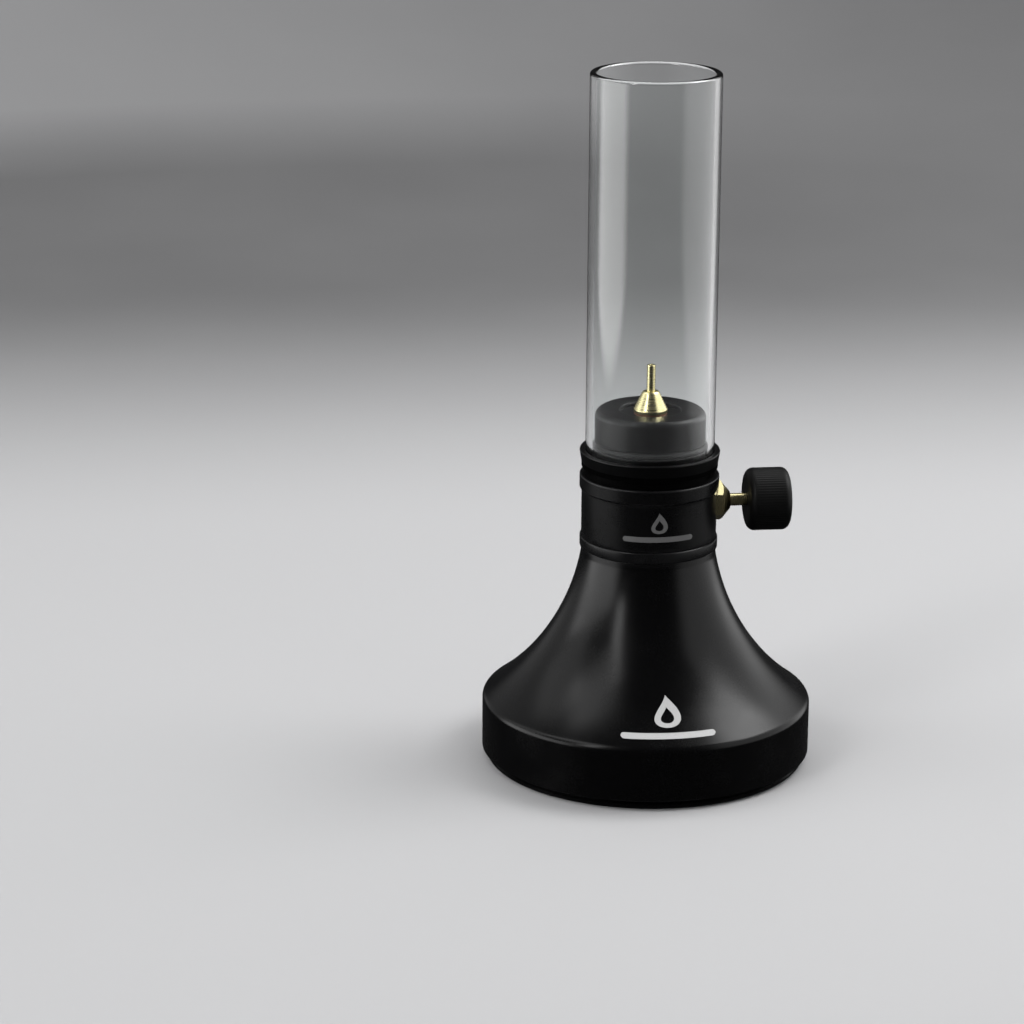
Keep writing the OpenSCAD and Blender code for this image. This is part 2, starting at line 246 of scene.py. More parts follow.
def stands_for(piece, node, finish):
    """Puts a piece in place of a CAD node, on its body and with the given material."""
    record = frame["record"]
    body = next(b for b, nodes in record["behaviour"]["bodies"].items() if node in nodes)
    piece.data.materials.clear()
    piece.data.materials.append(finish)
    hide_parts(node)
    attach(piece, body)
    return piece


# ---------------------------------------------------------------- material building


class Finish:
    """A Principled material under construction, with a short call for each kind of node."""

    def __init__(self, name, **constants):
        self.material = bpy.data.materials.new(name)
        self.material.use_nodes = True
        self.nodes = self.material.node_tree.nodes
        self.links = self.material.node_tree.links
        self.shader = self.nodes["Principled BSDF"]
        self.normal = None
        for label, value in constants.items():
            self.shader.inputs[label.replace("_", " ")].default_value = value

    def add(self, kind, inputs=(), **settings):
        """A node with its settings, and its inputs linked or set in order; None leaves one as it is."""
        made = self.nodes.new("ShaderNode" + kind)
        for label, value in settings.items():
            setattr(made, label, value)
        for socket, value in zip(made.inputs, inputs):
            if isinstance(value, bpy.types.NodeSocket):
                self.links.new(value, socket)
            elif value is not None:
                socket.default_value = value
        return made

    def math(self, operation, a, b=0.0):
        return self.add("Math", (a, b), operation=operation).outputs[0]

    def place(self):
        """Where a point is on the piece, in metres."""
        return self.add("TexCoord").outputs["Object"]

    def along(self, centre=(0, 0, 0), axis="Z"):
        """Distance along a turned surface: its height plus its radius about the axis, in metres."""
        moved = self.add("VectorMath", (self.place(), centre), operation="SUBTRACT").outputs[0]
        parts = self.add("SeparateXYZ", (moved,)).outputs
        height = parts[axis]
        across = [parts[other] for other in "XYZ" if other != axis]
        squares = [self.math("MULTIPLY", part, part) for part in across]
        radius = self.math("SQRT", self.math("ADD", squares[0], squares[1]))
        return self.math("ADD", height, radius)

    def noise(self, size_mm, where=None, detail=2.0, roughness=0.5, stretch=(1, 1, 1)):
        """Noise whose features are about that size. where is a vector, or a number for rings."""
        made = self.add("TexNoise")
        made.inputs["Scale"].default_value = 1 / (size_mm * MM)
        made.inputs["Detail"].default_value = detail
        made.inputs["Roughness"].default_value = roughness
        if where is not None:
            made.noise_dimensions = "1D"
            self.links.new(where, made.inputs["W"])
        else:
            scaled = self.add("VectorMath", (self.place(), stretch), operation="MULTIPLY")
            self.links.new(scaled.outputs[0], made.inputs["Vector"])
        return made.outputs[0]

    def spread(self, value, low, high, out_low, out_high):
        """value from low to high becomes out_low to out_high, and stays within them."""
        return self.add("MapRange", (value, low, high, out_low, out_high)).outputs[0]

    def ease(self, value, low, high, out_low, out_high):
        """As spread, but with a gentle start and end."""
        inputs = (value, low, high, out_low, out_high)
        return self.add("MapRange", inputs, interpolation_type="SMOOTHSTEP").outputs[0]

    def edges(self):
        """1 on rounded edges and 0 elsewhere."""
        return self.add("Attribute", attribute_name="edge").outputs["Fac"]

    def blend(self, share, first, second):
        """A colour between two, by share."""
        made = self.add("Mix", data_type="RGBA")
        for label, value in (("Factor_Float", share), ("A_Color", first), ("B_Color", second)):
            socket = next(s for s in made.inputs if s.identifier == label)
            if isinstance(value, bpy.types.NodeSocket):
                self.links.new(value, socket)
            else:
                socket.default_value = value
        return next(s for s in made.outputs if s.identifier == "Result_Color")

    def feed(self, label, value):
        self.links.new(value, self.shader.inputs[label])

    def relief(self, height, depth_mm):
        """Adds relief of that depth, on top of what is there."""
        made = self.add("Bump")
        made.inputs["Distance"].default_value = depth_mm * MM
        self.links.new(height, made.inputs["Height"])
        if self.normal:
            self.links.new(self.normal, made.inputs["Normal"])
        self.normal = made.outputs[0]
        self.feed("Normal", self.normal)


def grey(value, blue=1.0):
    """An opaque grey, a little cooler where blue is above 1."""
    return (value, value, value * blue, 1.0)


# ---------------------------------------------------------------- materials


def anodised(name, tone, wear_and_highlight_tone, gloss, specular, painted_shade_below=None):
    """Black anodised aluminium: fine etched grain, faint turning rings, and edges a shade lighter, partly as
    wear and partly as a painted highlight.
    Below a height in millimetres it can carry painted shade: darker and duller, standing in for the shadow
    in the narrow gap there."""
    finish = Finish(name, Metallic=0.0, IOR=1.5, Specular_IOR_Level=specular)
    grain = finish.noise(0.22, detail=3)
    hands = finish.noise(11, detail=3)
    rings = finish.noise(0.35, where=finish.along(), detail=3, roughness=0.7)
    # Edges lighter where the handling noise allows: partly wear, partly a painted highlight along the edge
    wear_and_edge_highlight = finish.math("MULTIPLY", finish.edges(), finish.spread(hands, 0.35, 0.7, 0.25, 1))
    body = finish.blend(finish.spread(grain, 0.3, 0.7, 0, 1), grey(tone * 0.8, 1.05), grey(tone * 1.25, 1.1))
    colour = finish.blend(wear_and_edge_highlight, body, grey(wear_and_highlight_tone, 1.05))
    if painted_shade_below:
        # Painted shade: below that height the colour goes near black and the specular level drops to a
        # tenth, as the shadow in the gap
        height = finish.add("SeparateXYZ", (finish.place(),)).outputs["Z"]
        unshaded_share = finish.spread(height, (painted_shade_below - 0.1) * MM, (painted_shade_below + 0.1) * MM, 0.1, 1)
        finish.feed("Specular IOR Level", finish.math("MULTIPLY", unshaded_share, specular))
        colour = finish.blend(unshaded_share, grey(0.0008), colour)
    finish.feed("Base Color", colour)
    smooth = finish.spread(hands, 0.3, 0.7, gloss - 0.04, gloss + 0.05)
    finish.feed("Roughness", finish.math("ADD", smooth, finish.spread(grain, 0.3, 0.7, -0.03, 0.03)))
    finish.relief(rings, 0.0015)
    finish.relief(grain, 0.001)
    return finish.material


def brass(name, centre=(0, 0, 0), axis="Z"):
    """Polished brass with the fine rings of the lathe and a slight warm mottle."""
    finish = Finish(name, Metallic=1.0)
    rings = finish.noise(0.18, where=finish.along(centre, axis), detail=2, roughness=0.6)
    mottle = finish.noise(1.6, detail=3)
    share = finish.spread(mottle, 0.3, 0.7, 0, 1)
    finish.feed("Base Color", finish.blend(share, (0.78, 0.70, 0.40, 1), (0.68, 0.60, 0.32, 1)))
    finish.feed("Roughness", finish.spread(rings, 0.3, 0.7, 0.22, 0.34))
    finish.relief(rings, 0.0003)
    return finish.material


def metal(name, first, second, gloss):
    """Plain machined metal for the small inner pieces."""
    finish = Finish(name, Metallic=1.0)
    mottle = finish.noise(0.8, detail=3)
    rings = finish.noise(0.2, where=finish.along(), detail=2)
    finish.feed("Base Color", finish.blend(finish.spread(mottle, 0.3, 0.7, 0, 1), first, second))
    finish.feed("Roughness", finish.spread(rings, 0.3, 0.7, gloss - 0.06, gloss + 0.08))
    finish.relief(rings, 0.001)
    return finish.material


def rubber(name, tone):
    """Matt seal rubber with a fine dusty grain."""
    finish = Finish(name, Specular_IOR_Level=0.25)
    grain = finish.noise(0.12, detail=3)
    dust = finish.noise(2.5, detail=4)
    dusty = finish.spread(dust, 0.4, 0.7, 0, 1)
    finish.feed("Base Color", finish.blend(dusty, grey(tone), grey(tone * 1.8)))
    finish.feed("Roughness", finish.spread(grain, 0.3, 0.7, 0.6, 0.8))
    finish.relief(grain, 0.004)
    return finish.material


def knob_plastic(name):
    """Matt black moulded plastic with a fine spark-eroded texture."""
    finish = Finish(name, Specular_IOR_Level=0.13)
    grain = finish.noise(0.16, detail=4, roughness=0.6)
    hands = finish.noise(4, detail=3)
    # Edges lighter where the handling noise allows: partly wear, partly a painted highlight along the edge
    wear_and_edge_highlight = finish.math("MULTIPLY", finish.edges(), finish.spread(hands, 0.4, 0.7, 0, 1))
    body = finish.blend(finish.spread(grain, 0.35, 0.65, 0, 1), grey(0.002), grey(0.005))
    finish.feed("Base Color", finish.blend(wear_and_edge_highlight, body, grey(0.012)))
    finish.feed("Roughness", finish.spread(hands, 0.3, 0.7, 0.42, 0.55))
    finish.relief(grain, 0.006)
    return finish.material


def felt(name):
    """Pale filter felt: short matted fibres."""
    finish = Finish(name, Roughness=0.95, Specular_IOR_Level=0.1)
    fibres = finish.noise(0.35, detail=4, roughness=0.7, stretch=(1, 1, 0.3))
    share = finish.spread(fibres, 0.35, 0.65, 0, 1)
    finish.feed("Base Color", finish.blend(share, (0.5, 0.46, 0.38, 1), (0.8, 0.77, 0.7, 1)))
    finish.relief(fibres, 0.15)
    return finish.material


def print_ink(name, tone):
    """Pale pad-printed ink, a little uneven, as a thin film is."""
    finish = Finish(name, Specular_IOR_Level=0.3)
    film = finish.noise(0.3, detail=4, roughness=0.65)
    share = finish.spread(film, 0.35, 0.65, 0, 1)
    finish.feed("Base Color", finish.blend(share, grey(tone * 0.86), grey(tone)))
    finish.feed("Roughness", finish.spread(film, 0.3, 0.7, 0.45, 0.6))
    finish.relief(film, 0.002)
    return finish.material


def clear_glass(name):
    """Borosilicate tube: clear, faintly green, with slight draw lines. Lamps' rays pass straight through,
    and so do mirror rays on their way out from what stands inside the tube."""
    finish = Finish(name, IOR=1.47, Transmission_Weight=1.0, Specular_IOR_Level=0.7)
    finish.shader.inputs["Base Color"].default_value = (0.99, 0.997, 0.995, 1)
    draw = finish.noise(3.5, detail=2, stretch=(1, 1, 0.02))
    film = finish.noise(6, detail=4)
    finish.feed("Roughness", finish.spread(film, 0.5, 0.8, 0.0, 0.035))
    finish.relief(draw, 0.012)
    output = finish.nodes["Material Output"]
    through = finish.add("BsdfTransparent", ((0.955, 0.967, 0.963, 1),)).outputs[0]
    path = finish.add("LightPath").outputs
    past_wall = finish.math("GREATER_THAN", path["Transmission Depth"], 1.5)
    leaving = finish.math("MULTIPLY", path["Is Glossy Ray"], past_wall)
    straight = finish.math("MAXIMUM", path["Is Shadow Ray"], leaving)
    mixed = finish.add("MixShader", (straight, finish.shader.outputs[0], through)).outputs[0]
    finish.links.new(mixed, output.inputs["Surface"])
    return finish.material


def studio_grey(name, lit_pool_tone, far, wall):
    """The floor: matt, with a painted pool of light that is pale round the lamp, painted falloff that greys
    it straight behind the lamp, and greyer in front of it.
    The greyer part behind has one tone where it lies flat and another where it rises, the rising wall
    painted lighter on the left."""
    finish = Finish(name, Roughness=0.75, Specular_IOR_Level=0.2)
    cool = 1.015
    cloud = finish.noise(160, detail=3)
    share = finish.spread(cloud, 0.3, 0.7, 0, 1)
    parts = finish.add("SeparateXYZ", (finish.place(),)).outputs
    aside = finish.math("ABSOLUTE", parts["X"])
    centre = finish.ease(aside, 0.3, 0.9, 1, 0)
    # Painted falloff of the pool of light: the floor greys off straight behind the lamp
    back = finish.ease(parts["Y"], 0.19, 0.52, 0, 1)
    front = finish.ease(parts["Y"], -0.4, -0.14, 1, 0)
    rise = finish.spread(parts["Z"], 0.012, 0.028, 0, 1)
    # Painted light on the rising wall: lighter towards the left, greying to the far tone on the right
    side = finish.spread(parts["X"], -0.2, 0.3, 1, 0.05)
    distant = finish.blend(finish.math("MULTIPLY", rise, side), grey(far, cool), grey(wall, cool))
    ahead = finish.blend(finish.math("MULTIPLY", front, centre), grey(lit_pool_tone, cool), grey(lit_pool_tone * 0.4, cool))
    tone = finish.blend(finish.math("MULTIPLY", back, centre), ahead, distant)
    finish.feed("Base Color", finish.blend(finish.math("MULTIPLY", share, 0.06), tone, grey(0.5)))
    return finish.material


# ---------------------------------------------------------------- turned black parts


def tank_outline():
    """Foot, rounded rim, flare, neck and spigot, then back down the bore and the thin wall."""
    thread_r, ceiling_z = 34, 48
    bore_r, seal_r, seal_z = 8, 11.2, 58.4
    rim_x = TANK_HI.x - RIM_FILLET
    rim_z = FLARE_C.y - math.sqrt((FLARE_R + RIM_FILLET) ** 2 - (FLARE_C.x - rim_x) ** 2)
    rim_angle = math.degrees(math.atan2(FLARE_C.y - rim_z, FLARE_C.x - rim_x))
    neck_angle = 180 + math.degrees(math.acos((FLARE_C.x - NECK_R) / FLARE_R))
    rim = arc((rim_x, rim_z), RIM_FILLET, 0, rim_angle, 14)
    flare = arc(FLARE_C, FLARE_R, 180 + rim_angle, neck_angle, 72)[1:]
    inner_r = FLARE_R + TANK_WALL
    top_angle = 180 + math.degrees(math.asin((FLARE_C.y - ceiling_z) / inner_r))
    thread_angle = 180 + math.degrees(math.acos((FLARE_C.x - thread_r) / inner_r))
    inner = arc(FLARE_C, inner_r, top_angle, thread_angle, 36)
    bottom = TANK_LO.z
    points = [(thread_r, bottom, BREAK), (TANK_HI.x, bottom, BREAK)]
    points += rim + flare
    points += [(NECK_R, RING_LO.z, 0.15), (SPIGOT_R, RING_LO.z), (SPIGOT_R, TANK_HI.z)]
    points += [(seal_r, TANK_HI.z), (seal_r, seal_z), (bore_r, seal_z), (bore_r, ceiling_z)]
    return rounded(points + inner)


def make_tank(finish):
    stands_for(turned("tank_body_fine", tank_outline()), "tank_body", finish)


def make_lock_ring(finish):
    """The narrow ring between tank and collar, with both its outer edges well broken."""
    rounding = BREAK + 0.1
    points = [
        (SPIGOT_R, RING_LO.z),
        (RING_HI.x, RING_LO.z, rounding),
        (RING_HI.x, RING_HI.z, rounding),
        (SPIGOT_R, RING_HI.z),
    ]
    stands_for(turned("lock_ring_fine", rounded(points)), "lock_ring", finish)


def make_collar(finish):
    """The sleeve with its raised band, cut through by the gland's clearance hole."""
    top = COLLAR_HI.z
    band_r, band_low, band_full = COLLAR_HI.x, 67.9, 68.3
    lip_r, lip_z = 12.2, 70
    bore_r, bore_z = 14.5, 60
    hole_r, hole_start, hole_end = 5.4, 12.5, 18
    points = [(SPIGOT_R, COLLAR_LO.z), (NECK_R, COLLAR_LO.z, BREAK)]
    # Rows of points up the side keep its shading flat beside the hole
    points += [(NECK_R, COLLAR_LO.z + 1 + i * 0.9) for i in range(12)]
    points += [(NECK_R, band_low, 0.15), (band_r, band_full, 0.2), (band_r, top, 0.35)]
    points += [(lip_r, top), (lip_r, lip_z), (bore_r, lip_z), (bore_r, bore_z), (SPIGOT_R, bore_z)]
    sleeve = turned("collar_fine", rounded(points))
    cut(sleeve, lay_on_valve(rod("gland_hole", hole_r, hole_start, hole_end)))
    soften_edges(sleeve, 0.18, 40)
    stands_for(sleeve, "collar", finish)


def make_holder(finish):
    """The shallow cup of the glass, with its flared and rolled lip."""
    lip_r, waist_r, bore_r = HOLDER_HI.x, 16.4, 15.6
    top, floor_z = HOLDER_HI.z, 74.4
    points = [
        (HEAD_R, HOLDER_LO.z),
        (waist_r, HOLDER_LO.z, 0.2),
        (waist_r, floor_z),
        (lip_r, top - 0.3),
        (lip_r - 0.1, top, 0.12),
        (bore_r, top, 0.2),
        (bore_r, floor_z),
        (HEAD_R, floor_z),
    ]
    stands_for(turned("holder_ring_fine", rounded(points)), "holder_ring", finish)


def make_head(finish):
    """The plug in the glass: flange, grip groove, eased top with the jet's recess, stud bore."""
    top, recess_z = HEAD_HI.z, WASHER_LO.z
    flange_r, flange_top = HEAD_HI.x, 73.4
    groove_r, groove_low, groove_high = 12.3, 78.3, 80.0
    recess_r, jet_r, jet_z = 7.4, 2.5, 79
    channel_r, stub_r, stub_z = 1.5, 9, 75
    points = [
        (stub_r, HEAD_LO.z),
        (flange_r, HEAD_LO.z, 0.15),
        (flange_r, flange_top),
        (HEAD_R, flange_top),
        (HEAD_R, groove_low, 0.12),
        (groove_r, groove_low),
        (groove_r, groove_high),
        (HEAD_R, groove_high, 0.12),
        (HEAD_R, top, 1.2),
        (recess_r, top, 0.3),
        (recess_r, recess_z),
        (jet_r, recess_z),
        (jet_r, jet_z),
        (channel_r, jet_z),
        (channel_r, stub_z),
        (stub_r, stub_z),
    ]
    stands_for(turned("burner_head_fine", rounded(points)), "burner_head", finish)


# ---------------------------------------------------------------- brass


def make_jet(finish):
    """The screwed cone and the tube that stands in it."""
    foot, foot_r = WASHER_HI.z, CONE_HI.x
    stem_r, bore_r, socket_r = 2.5, 0.5, 1.0
    shoulder_r, nose_r = 2.1, 1.75
    cone = [
        (bore_r, CONE_LO.z),
        (stem_r, CONE_LO.z, 0.3),
        (stem_r, foot),
        (foot_r, foot, 0.2),
        (foot_r - 0.05, foot + 0.7, 0.3),
        (shoulder_r, CONE_HI.z - 0.4, 0.3),
        (nose_r, CONE_HI.z, 0.2),
        (socket_r, CONE_HI.z),
        (socket_r, TUBE_LO.z),
        (bore_r, TUBE_LO.z),
    ]
    stands_for(turned("jet_base_fine", rounded(cone), FINE_STEPS), "jet_base", finish)
    tube_r, tube_bore_r = TUBE_HI.x, 0.35
    tube = [
        (tube_bore_r, TUBE_LO.z),
        (tube_r, TUBE_LO.z),
        (tube_r, TUBE_HI.z, 0.15),
        (tube_bore_r, TUBE_HI.z, 0.1),
    ]
    stands_for(turned("jet_tube_fine", rounded(tube), FINE_STEPS), "jet_tube", finish)


def make_gland(finish):
    """Shank, neck, chamfered hexagon and cone, from a turned bar cut down to six flats."""
    corner = (GLAND_HI.z - GLAND_LO.z) / 2
    flats = corner * math.cos(math.pi / 6)
    chamfer = 0.45
    shank_r, neck_r, tip_r = 3.5, 4, 2.2
    neck_x, hex_start, hex_end = 11.6, 14, 17.8
    thread_r, spindle_r, thread_end = 2.05, 1.55, 11.5
    bar = [
        (thread_r, GLAND_LO.x),
        (shank_r, GLAND_LO.x),
        (shank_r, neck_x),
        (neck_r, neck_x),
        (neck_r, hex_start),
        (flats - 0.05, hex_start),
        (corner, hex_start + chamfer),
        (corner, hex_end - chamfer),
        (flats - 0.05, hex_end),
        (tip_r, GLAND_HI.x, 0.25),
        (spindle_r, GLAND_HI.x),
        (spindle_r, thread_end),
        (thread_r, thread_end),
    ]
    nut = lay_on_valve(turned("gland_nut_fine", rounded(bar), FINE_STEPS))
    cut(nut, lay_on_valve(rod("hexagon", corner, 6, 22, 6)), "INTERSECT")
    soften_edges(nut, 0.1, 25)
    stands_for(nut, "gland_nut", finish)


# ---------------------------------------------------------------- filling valve's spring


def make_spring(finish):
    """The coil over the filling poppet, built at its rest length. In the valve it is squeezed against its
    fixed upper end as the poppet rises.
    """
    lo, hi = box_mm("filler_spring")
    wire, turns = 0.2, 5
    per_turn, sides = 48, 16
    coil = hi.x - wire
    rise = hi.z - lo.z
    steps = turns * per_turn
    mesh = bmesh.new()
    rows = []
    for i in range(steps + 1):
        turn = 2 * math.pi * i / per_turn
        centre_z = lo.z + wire + (rise - 2 * wire) * i / steps
        row = []
        for j in range(sides):
            angle = 2 * math.pi * j / sides
            reach = coil + wire * math.cos(angle)
            height = centre_z + wire * math.sin(angle)
            spot = Vector((reach * math.cos(turn), reach * math.sin(turn), height))
            row.append(mesh.verts.new(spot * MM))
        rows.append(row)
    for low, high in zip(rows, rows[1:]):
        for j in range(sides):
            k = (j + 1) % sides
            mesh.faces.new((low[j], low[k], high[k], high[j]))
    mesh.faces.new(rows[0])
    mesh.faces.new(rows[-1])
    spring = stands_for(new_piece("filler_spring_fine", mesh), "filler_spring", finish)
    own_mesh(spring)


# ---------------------------------------------------------------- knob


def make_knob(finish):
    """The knob, with fine shallow ribs round its side, bored for the spindle and the grub screw."""
    radius = (KNOB_HI.z - KNOB_LO.z) / 2
    inner, outer = KNOB_LO.x, KNOB_HI.x
    fillet = 1.8
    ribs, depth, plain_end, fade = 72, 0.05, 1.1, 1.2
    bore_r, grub_r, drill_steps = 1.52, 1.02, 48

    def ribbed(r, height, angle):
        """The side's radius, with ribs that fade out towards both ends."""
        reach = min(height - inner, outer - height)
        run = max(0.0, min(1.0, (reach - plain_end) / fade))
        share = run * run * (3 - 2 * run) if r > radius - fillet else 0
        return r - depth * share * (0.5 - 0.5 * math.cos(ribs * angle))

    side = [inner + fillet + (outer - inner - 2 * fillet) * i / 10 for i in range(1, 10)]
    points = [(0, inner), (1.5, inner), (radius - fillet - 0.6, inner)]
    points += arc((radius - fillet, inner + fillet), fillet, -90, 0, 14)
    points += [(radius, x) for x in side]
    points += arc((radius - fillet, outer - fillet), fillet, 0, 90, 14)
    points += [(radius - fillet - 0.6, outer), (1.5, outer), (0, outer)]
    knob = lay_on_valve(turned("control_knob_fine", rounded(points), ribs * 8, ribbed))
    spindle_end = box_mm("valve_spindle")[1].x
    cut(knob, lay_on_valve(rod("bore", bore_r, inner - 1, spindle_end, drill_steps)))
    drill = rod("drill", grub_r, KNOB_LO.z - 1, VALVE_Z - 1, drill_steps)
    drill.data.transform(Matrix.Translation((middle("knob_grub_screw").x * MM, 0, 0)))
    cut(knob, drill)
    stands_for(knob, "control_knob", finish)


# ---------------------------------------------------------------- glass


def make_glass(finish):
    """A drawn tube with fire-polished ends."""
    outer, wall = GLASS_HI.x, 1.6
    bore = outer - wall
    points = [
        (bore, GLASS_LO.z, 0.6),
        (outer, GLASS_LO.z, 0.6),
        (outer, GLASS_HI.z, 0.7),
        (bore, GLASS_HI.z, 0.7),
    ]
    stands_for(turned("glass_chimney_fine", rounded(points, 10)), "glass_chimney", finish)


# ---------------------------------------------------------------- printed marks


def on_collar(side, up):
    """A spot on the collar's face, with the surface's outward direction."""
    angle = side / NECK_R
    out = Vector((math.sin(angle), -math.cos(angle), 0))
    return out * NECK_R + Vector((0, 0, up)), out


def on_flare(side, up):
    """A spot on the flare. up is measured along its curve from the foot's rim."""
    turn = math.radians(235) - up / FLARE_R
    radius = FLARE_C.x + FLARE_R * math.cos(turn)
    height = FLARE_C.y + FLARE_R * math.sin(turn)
    angle = side / radius
    out = Vector((math.sin(angle), -math.cos(angle), 0))
    return out * radius + Vector((0, 0, height)), out * -math.cos(turn) + Vector((0, 0, -math.sin(turn)))


def flame(width, height, turn):
    """A point on the outline of a drop-shaped flame, with its tip at the top."""
    side = math.sin(turn) * math.sin(turn / 2) ** 1.6
    up = 0.5 + 0.5 * math.cos(turn)
    return width * 0.62 * side + width * 0.10 * math.sin(math.pi * up) * up, height * up


def print_patch(mesh, surface, grid, closed=False):
    """Adds a film to the mesh from rows of (side, up) points."""
    rows = []
    for row in grid:
        spots = [surface(side, up) for side, up in row]
        rows.append([mesh.verts.new((spot + out * INK_LIFT) * MM) for spot, out in spots])
    if closed:
        rows.append(rows[0])
    for low, high in zip(rows, rows[1:]):
        for k in range(len(low) - 1):
            mesh.faces.new((low[k], low[k + 1], high[k + 1], high[k]))


def make_mark(name, surface, base, flame_size, line_size, finish):
    """A generic mark: an open flame over a plain line, as a thin film on the surface."""
    mesh = bmesh.new()
    around = 64
    width, height = flame_size
    grid = []
    for i in range(around):
        turn = 2 * math.pi * (i + 0.5) / around
        outer = Vector(flame(width, height, turn))
        inner = Vector(flame(width * 0.5, height * 0.5, turn)) + Vector((0, height * 0.14))
        lift = Vector((0, base + line_size[1] + height * 0.16))
        grid.append([outer.lerp(inner, k / 4) + lift for k in range(5)])
    print_patch(mesh, surface, grid, closed=True)
    length, thick = line_size
    grid = []
    for i in range(81):
        along = -1 + i / 40
        end = max(0.0, abs(along) * length / 2 - (length / 2 - thick / 2)) / (thick / 2)
        half = thick / 2 * math.sqrt(max(0.02, 1 - end * end))
        grid.append([(along * length / 2, base + thick / 2 + half * k / 2) for k in range(-2, 3)])
    print_patch(mesh, surface, grid)
    mark = new_piece(name, mesh)
    film = mark.modifiers.new("film", "SOLIDIFY")
    film.thickness = INK_THICKNESS * MM
    film.offset = 0
    apply_modifiers(mark)
    mark.data.materials.append(finish)
    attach(mark, "root")
    return mark


# ---------------------------------------------------------------- CAD nodes that stay as they are


def finish_cad_nodes(finishes):
    """Gives each node that is still shown the material of its slot."""
    for part in frame["record"]["subparts"]:
        piece = frame["nodes"][part["node"]]
        if not piece.hide_render:
            piece.data.materials.clear()
            piece.data.materials.append(finishes[part["node"]])


# ---------------------------------------------------------------- studio


# The camera of the picture: it looks at the lamp from its front, a little from the left and above
TARGET = Vector((0, 0, 0.085))
VIEW_AZIMUTH = -9.0
VIEW_ELEVATION = 15.21
VIEW_DISTANCE = 0.827
VIEW_PAN = -2.37
VIEW_PITCH = -16.79
VIEW_ROLL = -0.34
LENS_MM = 121.3


def make_camera():
    """The picture's camera, at VIEW_DISTANCE from TARGET and turned by pan, pitch and roll."""
    azimuth = math.radians(VIEW_AZIMUTH)
    elevation = math.radians(VIEW_ELEVATION)
    back = Vector((
        math.sin(azimuth) * math.cos(elevation),
        -math.cos(azimuth) * math.cos(elevation),
        math.sin(elevation),
    ))
    yaw = math.radians(VIEW_PAN - VIEW_AZIMUTH)
    pitch = math.radians(VIEW_PITCH)
    forward = Vector((math.sin(yaw) * math.cos(pitch), math.cos(yaw) * math.cos(pitch), math.sin(pitch)))
    roll = Matrix.Rotation(math.radians(VIEW_ROLL), 4, forward)
    level = forward.to_track_quat("-Z", "Y").to_matrix().to_4x4()
    data = bpy.data.cameras.new("camera")
    data.lens = LENS_MM
    data.clip_start = 0.02
    data.clip_end = 20
    camera = bpy.data.objects.new("camera", data)
    camera.matrix_world = Matrix.Translation(TARGET + back * VIEW_DISTANCE) @ roll @ level
    bpy.context.scene.collection.objects.link(camera)
    bpy.context.scene.camera = camera


def fade_edges(data, borders):
    """Lets a soft box fade towards its edges, over a share of its width and of its height."""
    data.use_nodes = True
    tree = data.node_tree
    split = tree.nodes.new("ShaderNodeSeparateXYZ")
    tree.links.new(tree.nodes.new("ShaderNodeNewGeometry").outputs["Parametric"], split.inputs[0])
    shares = []
    for side, border in zip("XY", borders):
        away = tree.nodes.new("ShaderNodeMath")
        away.operation = "PINGPONG"
        away.inputs[1].default_value = 0.5
        tree.links.new(split.outputs[side], away.inputs[0])
        share = tree.nodes.new("ShaderNodeMapRange")
        share.interpolation_type = "SMOOTHSTEP"
        share.inputs["From Max"].default_value = border
        tree.links.new(away.outputs[0], share.inputs["Value"])
        shares.append(share.outputs[0])
    both = tree.nodes.new("ShaderNodeMath")
    both.operation = "MULTIPLY"
    for share, socket in zip(shares, both.inputs):
        tree.links.new(share, socket)
    tree.links.new(both.outputs[0], tree.nodes["Emission"].inputs["Strength"])


def add_light(name, spot, aim, size, tone, borders):
    """A soft box at spot, facing aim, that shows as tone where it is mirrored, but not through glass."""
    data = bpy.data.lights.new(name, "AREA")
    data.shape = "RECTANGLE"
    data.size, data.size_y = size
    data.energy = tone * math.pi * size[0] * size[1]
    fade_edges(data, borders)
    lamp = bpy.data.objects.new(name, data)
    turn = (aim - spot).to_track_quat("-Z", "Y").to_matrix().to_4x4()
    lamp.matrix_world = Matrix.Translation(spot) @ turn
    lamp.visible_camera = False
    lamp.visible_transmission = False
    bpy.context.scene.collection.objects.link(lamp)
    return lamp


def direction(bearing):
    """Level direction from the lamp, in degrees to the right of the camera."""
    turn = math.radians(VIEW_AZIMUTH + bearing)
    return Vector((math.sin(turn), -math.cos(turn), 0))


def panel(name, bearing, distance, bottom, top, width, tone):
    """An upright soft box between two heights, square on to the lamp. One that starts below
    the floor only shows as a reflection."""
    level = Vector((0, 0, (bottom + top) / 2))
    size = (width, top - bottom)
    lamp = add_light(name, direction(bearing) * distance + level, level, size, tone, (0.25, 0.06))
    lamp.visible_diffuse = bottom > 0


def high_box(name, bearing, elevation, distance, size, tone):
    """A soft box up in the air, aimed at the lamp."""
    rise = math.radians(elevation)
    spot = direction(bearing) * distance * math.cos(rise) + Vector((0, 0, distance * math.sin(rise)))
    add_light(name, spot, Vector((0, 0, 0.05)), size, tone, (0.3, 0.3))


def ceiling(size, height, tone):
    """A wide light overhead for the floor, which leaves no reflection."""
    spot = Vector((0, 0, height))
    lamp = add_light("ceiling", spot, Vector((0, 0.001, 0)), (size, size), tone, (0.2, 0.2))
    lamp.visible_glossy = False


